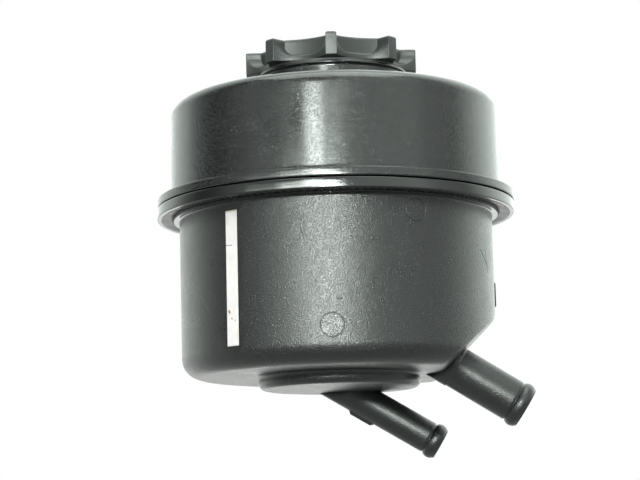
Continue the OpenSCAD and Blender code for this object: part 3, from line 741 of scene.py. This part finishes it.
def nylon(name, colour, rough, scale, depth, fine, pits, specks, marks=(), smooth_z=None,
          smooth_rough=0.2, shine=0.5, matt_z=None):
    """Black moulded nylon: near-black base with faint mottling, grained surface with specks of
    another roughness. Marks are (start, end, half width, edge, rise, rougher). Above smooth_z the
    mould was polished, so the grain fades out and the roughness falls. The level face at matt_z
    is matt."""
    made, tree = material(name)
    shader = tree.nodes["Principled BSDF"]
    bumps = use_group(tree, grain, Scale=scale, Fine=fine, Pits=pits)
    shader.inputs["Specular IOR Level"].default_value = shine
    low, high = [(*[c * k for c in colour], 1) for k in (0.8, 1.25)]
    tint = add(tree, "Mix", {"data_type": "RGBA"}, _0=bumps.outputs["Spread"], _6=low, _7=high)
    tree.links.new(tint.outputs[2], shader.inputs["Base Color"])
    spread = math_node(tree, "MULTIPLY_ADD", bumps.outputs["Spread"], 0.14, rough - 0.07)
    spread = math_node(tree, "MULTIPLY_ADD", bumps.outputs["Specks"], specks, spread)
    height = bumps.outputs["Height"]
    for start, end, width, edge, rise, rougher in marks:
        mask = use_group(tree, mark, Start=start, End=end, Width=width, Edge=edge).outputs["Mask"]
        height = math_node(tree, "MULTIPLY_ADD", mask, rise, height)
        spread = math_node(tree, "MULTIPLY_ADD", mask, rougher, spread)
    strength = 1.0
    level = add(tree, "SeparateXYZ", _0=add(tree, "TexCoord").outputs["Object"]).outputs["Z"]
    if matt_z is not None:
        matt = math_node(tree, "COMPARE", level, matt_z, 0.3 * MM)
        spread = math_node(tree, "MULTIPLY_ADD", matt, 0.4, spread)
    if smooth_z is not None:
        grained = add(tree, "MapRange", Value=level, From_Min=smooth_z,
                      From_Max=smooth_z - 0.6 * MM).outputs[0]
        spread = add(tree, "Mix", {"data_type": "FLOAT"}, _0=grained, _2=smooth_rough,
                     _3=spread).outputs[0]
        strength = math_node(tree, "MULTIPLY_ADD", grained, 0.85, 0.15)
    tree.links.new(spread, shader.inputs["Roughness"])
    bump = add(tree, "Bump", Strength=strength, Distance=depth, Height=height)
    tree.links.new(bump.outputs[0], shader.inputs["Normal"])
    return made


def plain(name, colour, rough, metal=0.0, scale=300.0):
    """Small inner pieces: colour that varies a little, and a faint bump."""
    made, tree = material(name)
    shader = tree.nodes["Principled BSDF"]
    place = add(tree, "TexCoord").outputs["Object"]
    noise = add(tree, "TexNoise", Vector=place, Scale=scale, Detail=3.0).outputs[0]
    low, high = [(*[min(c * k, 1) for c in colour], 1) for k in (0.85, 1.1)]
    tint = add(tree, "Mix", {"data_type": "RGBA"}, _0=noise, _6=low, _7=high)
    tree.links.new(tint.outputs[2], shader.inputs["Base Color"])
    spread = math_node(tree, "MULTIPLY_ADD", noise, 0.15, rough - 0.07)
    tree.links.new(spread, shader.inputs["Roughness"])
    shader.inputs["Metallic"].default_value = metal
    bump = add(tree, "Bump", Strength=1.0, Distance=0.02 * MM, Height=noise)
    tree.links.new(bump.outputs[0], shader.inputs["Normal"])
    return made


def stained(made):
    """Lays the label's stains over a material's colour."""
    tree = made.node_tree
    shader = tree.nodes["Principled BSDF"]
    tint = shader.inputs["Base Color"].links[0].from_socket
    for start, end, width, colour in LABEL_STAINS:
        stain = use_group(tree, mark, Start=on_wall(*start, BOWL_TOP_R),
                          End=on_wall(*end, BOWL_TOP_R), Width=width * MM, Edge=0.25 * MM)
        tint = add(tree, "Mix", {"data_type": "RGBA"}, _0=stain.outputs["Mask"], _6=tint,
                   _7=(*colour, 1)).outputs[2]
    tree.links.new(tint, shader.inputs["Base Color"])
    return made


# Studio
def softbox(name, azimuth, elevation, distance, width, height, radiance):
    """Rectangular softbox that faces the object, seen from it at an azimuth from the front,
    positive to the right. It only makes highlights, isn't seen itself, and its power follows from
    the radiance that its reflection shows: area times pi times radiance."""
    a, e = math.radians(azimuth), math.radians(elevation)
    place = Vector((math.sin(a) * math.cos(e), -math.cos(a) * math.cos(e), math.sin(e))) * distance
    size = [2 * distance * math.tan(math.radians(k / 2)) for k in (width, height)]
    data = bpy.data.lights.new(name, "AREA")
    data.shape = "RECTANGLE"
    data.size, data.size_y = size
    data.energy = radiance * math.pi * size[0] * size[1]
    data.color = LIGHT_TINT
    made = bpy.data.objects.new(name, data)
    made.location = place
    made.rotation_mode = "QUATERNION"
    made.rotation_quaternion = place.to_track_quat("Z", "Y")
    made.visible_camera = False
    made.visible_diffuse = False
    bpy.context.scene.collection.objects.link(made)


def azimuth_share(tree, vector):
    """Angle of a direction round the object as a share of the turn, 0.5 at the camera's side and
    more to its right, and the direction's height."""
    split = add(tree, "SeparateXYZ", _0=vector)
    front = math_node(tree, "MULTIPLY", split.outputs["Y"], -1.0)
    angle = math_node(tree, "ARCTAN2", split.outputs["X"], front)
    return math_node(tree, "MULTIPLY_ADD", angle, 0.5 / math.pi, 0.5), split.outputs["Z"]


def make_world():
    """White where the camera or a glass looks. Reflections see a room whose walls are brighter
    and darker round the object, and diffuse light comes from a plain level."""
    world = bpy.data.worlds.new("studio")
    bpy.context.scene.world = world
    world.use_nodes = True
    tree = world.node_tree
    background = tree.nodes["Background"]
    path = add(tree, "LightPath")
    share, height = azimuth_share(tree, add(tree, "TexCoord").outputs["Generated"])
    room_node = add(tree, "ValToRGB", Fac=share)
    ramp = room_node.color_ramp
    while len(ramp.elements) > 1:
        ramp.elements.remove(ramp.elements[-1])
    for azimuth, level in ROOM_LEVELS:
        stop = ramp.elements.new(azimuth / 360 + 0.5)
        stop.color = (*[level / ROOM_PEAK] * 3, 1)
    ramp.elements.remove(ramp.elements[0])
    room = math_node(tree, "MULTIPLY", room_node.outputs[0], ROOM_PEAK)
    below = add(tree, "MapRange", Value=height, From_Min=-0.06, From_Max=0.0,
                To_Min=ROOM_BELOW, To_Max=1.0).outputs[0]
    room = math_node(tree, "MULTIPLY", room, below)
    level = add(tree, "Mix", {"data_type": "FLOAT"}, _0=path.outputs["Is Glossy Ray"], _2=1.0,
                _3=room).outputs[0]
    level = add(tree, "Mix", {"data_type": "FLOAT"}, _0=path.outputs["Is Diffuse Ray"], _2=level,
                _3=FILL).outputs[0]
    tint = add(tree, "Mix", {"data_type": "RGBA"}, _0=path.outputs["Is Glossy Ray"],
               _6=(1, 1, 1, 1), _7=(*LIGHT_TINT, 1))
    tree.links.new(tint.outputs[2], background.inputs["Color"])
    tree.links.new(level, background.inputs["Strength"])


def make_floor():
    """Pale flat floor. Reflections see it darker than the camera does, dim in front and far
    behind and bright between."""
    mesh = bpy.data.meshes.new("sweep")
    corners = [(x, y, FLOOR_Z) for x, y in (
        (-FLOOR_SIDE, FLOOR_NEAR), (FLOOR_SIDE, FLOOR_NEAR), (FLOOR_SIDE, FLOOR_FAR),
        (-FLOOR_SIDE, FLOOR_FAR))]
    mesh.from_pydata(corners, [], [(0, 1, 2, 3)])
    floor = bpy.data.objects.new("sweep", mesh)
    bpy.context.scene.collection.objects.link(floor)
    made, tree = material("pale paper")
    shader = tree.nodes["Principled BSDF"]
    shader.inputs["Roughness"].default_value = 0.9
    path = add(tree, "LightPath")
    depth = add(tree, "SeparateXYZ", _0=add(tree, "TexCoord").outputs["Object"]).outputs["Y"]
    levels = [add(tree, "MapRange", {"interpolation_type": "SMOOTHSTEP"}, Value=depth,
                  From_Min=start, From_Max=end, To_Min=0.0, To_Max=level).outputs[0]
              for start, end, level in FLOOR_GLOW]
    mirrored = math_node(tree, "ADD", math_node(tree, "ADD", levels[0], levels[1]), levels[2])
    seen = add(tree, "Mix", {"data_type": "FLOAT"}, _0=path.outputs["Is Glossy Ray"], _2=0.0,
               _3=mirrored).outputs[0]
    paper = add(tree, "Mix", {"data_type": "RGBA"}, _0=path.outputs["Is Glossy Ray"],
                _6=(0.86, 0.87, 0.86, 1), _7=(0.5, 0.52, 0.5, 1))
    tree.links.new(paper.outputs[2], shader.inputs["Base Color"])
    camera = math_node(tree, "MAXIMUM", path.outputs["Is Camera Ray"],
                       path.outputs["Is Transmission Ray"])
    glow = math_node(tree, "MULTIPLY_ADD", camera, 0.3, seen)
    tree.links.new(glow, shader.inputs["Emission Strength"])
    shader.inputs["Emission Color"].default_value = (1, 1, 1, 1)
    floor.data.materials.append(made)


def make_camera():
    """Camera of the photograph, rolled about its view axis."""
    data = bpy.data.cameras.new("photo view")
    data.sensor_width = SENSOR
    data.lens = SENSOR * FOCAL_PIXELS / IMAGE_WIDTH
    camera = bpy.data.objects.new("photo view", data)
    bpy.context.scene.collection.objects.link(camera)
    forward = Vector((0, math.cos(CAMERA_PITCH), math.sin(CAMERA_PITCH)))
    right = forward.cross(Vector((0, 0, 1))).normalized()
    up = right.cross(forward)
    c, s = math.cos(CAMERA_ROLL), math.sin(CAMERA_ROLL)
    axes = Matrix((c * right + s * up, -s * right + c * up, -forward)).transposed()
    camera.matrix_world = Matrix.Translation(CAMERA_PLACE) @ axes.to_4x4()
    bpy.context.scene.camera = camera


make_camera()
make_world()
make_floor()
for box in SOFTBOXES:
    softbox(*box)

grain = grain_group()
mark = mark_group()
bowl_nylon = nylon("bowl nylon", (0.007, 0.0085, 0.0079), rough=0.29, scale=2700.0,
                   depth=0.14 * MM, fine=0.8, pits=0.3, specks=0.03, marks=bowl_marks(),
                   smooth_z=-0.8 * MM, smooth_rough=0.12)
shell_nylon = nylon("shell nylon", (0.0060, 0.0076, 0.0070), rough=0.165, scale=2500.0,
                    depth=0.04 * MM, fine=0.05, pits=1.0, specks=0.07, marks=neck_marks(),
                    matt_z=UPPER_TOP)
cap_nylon = nylon("cap nylon", (0.034, 0.041, 0.038), rough=0.44, scale=2600.0,
                  depth=0.05 * MM, fine=0.6, pits=0.3, specks=0.0, shine=0.45, matt_z=GRIP_TOP)
spigot_nylon = nylon("spigot nylon", (0.010, 0.0118, 0.0118), rough=0.35, scale=2600.0,
                     depth=0.07 * MM, fine=0.8, pits=0.3, specks=0.0, shine=0.46)
white_film = stained(plain("label film", (0.90, 0.885, 0.86), 0.6))
spring_wire = plain("spring wire", (0.55, 0.56, 0.58), 0.3, metal=1.0)
natural_nylon = plain("natural nylon", (0.72, 0.69, 0.6), 0.42)
black_rubber = plain("seal rubber", (0.02, 0.02, 0.02), 0.6)
dark_nylon = plain("inner nylon", (0.03, 0.031, 0.032), 0.4)
valve_nylon = plain("valve nylon", (0.05, 0.07, 0.09), 0.4)
ferrite = plain("ferrite", (0.1, 0.1, 0.11), 0.6)
screen = plain("filter screen", (0.66, 0.65, 0.6), 0.6, scale=2500.0)

fit(make_lower_bowl(), "housing", "bowl_plastic", bowl_nylon, "lower_bowl")
fit(make_key(), "housing", "bowl_plastic", bowl_nylon, "lower_bowl")
fit(make_teeth(), "housing", "bowl_plastic", bowl_nylon, "lower_bowl")
# Planes in the middle of the bowl's wall, as a point and a normal, where the spigots end inside
down = np.array([0, 0, -1.0])
mid_facet = (FACET_FOOT - FACET_NORMAL * WALL / 2, FACET_NORMAL)
mid_bottom = (np.array([0, 0, BOTTOM_Z + WALL / 2]), down)
mid_sump = (np.array([0, 0, SUMP_Z + WALL / 2]), down)
fit(make_spigot("suction_spigot", SUCTION, (mid_facet, mid_bottom)), "housing", "bowl_plastic",
    spigot_nylon, "lower_bowl")
fit(make_spigot("return_spigot", RETURN, (mid_sump,)), "housing", "bowl_plastic", spigot_nylon,
    "lower_bowl")
fit(make_upper_bowl(), "housing", "bowl_plastic", shell_nylon, "upper_bowl")
fit(make_cap(), "cap", "cap_plastic", cap_nylon, "cap_grip")
fit(make_label(), "housing", "label_film", white_film, "strip_label")

coil_low, coil_high = (corner.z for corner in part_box("hold_down_spring"))
fit(make_coil("filter_spring", 16 * MM, 28.6 * MM, coil_low, coil_high, wire=2.2 * MM, turns=4,
              flat=1), "housing", "spring_steel", spring_wire, "hold_down_spring")
# Small springs: node, joint, radius and wire in mm, body, travel in metres
small_springs = (("bypass_spring", "bypass_lift", 5.0, 0.8, "housing", 0.003),
                 ("vent_spring", "vent_lift", 4.6, 0.6, "cap", 0.0015))
for node, joint, radius, wire, body, travel in small_springs:
    low, high = (corner.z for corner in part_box(node))
    coil = fit(make_coil(node + "_wire", radius * MM, radius * MM, low, high, wire=wire * MM,
                         turns=4, flat=0), body, "spring_steel", spring_wire, node)
    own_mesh(coil)

looks = {"foot_seal": black_rubber, "sump_magnet": ferrite, "filter_lower_end": natural_nylon,
         "filter_cage": natural_nylon, "filter_mesh": screen, "filter_upper_end": natural_nylon,
         "bypass_poppet": valve_nylon, "bypass_bridge": natural_nylon,
         "splash_baffle": dark_nylon, "cap_seal": black_rubber, "vent_plate": natural_nylon,
         "vent_disc": black_rubber, "dipstick": natural_nylon, "dipstick_socket": natural_nylon}
for node, look in looks.items():
    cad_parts[node].data.materials.clear()
    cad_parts[node].data.materials.append(look)

bpy.context.scene.view_settings.view_transform = "Standard"
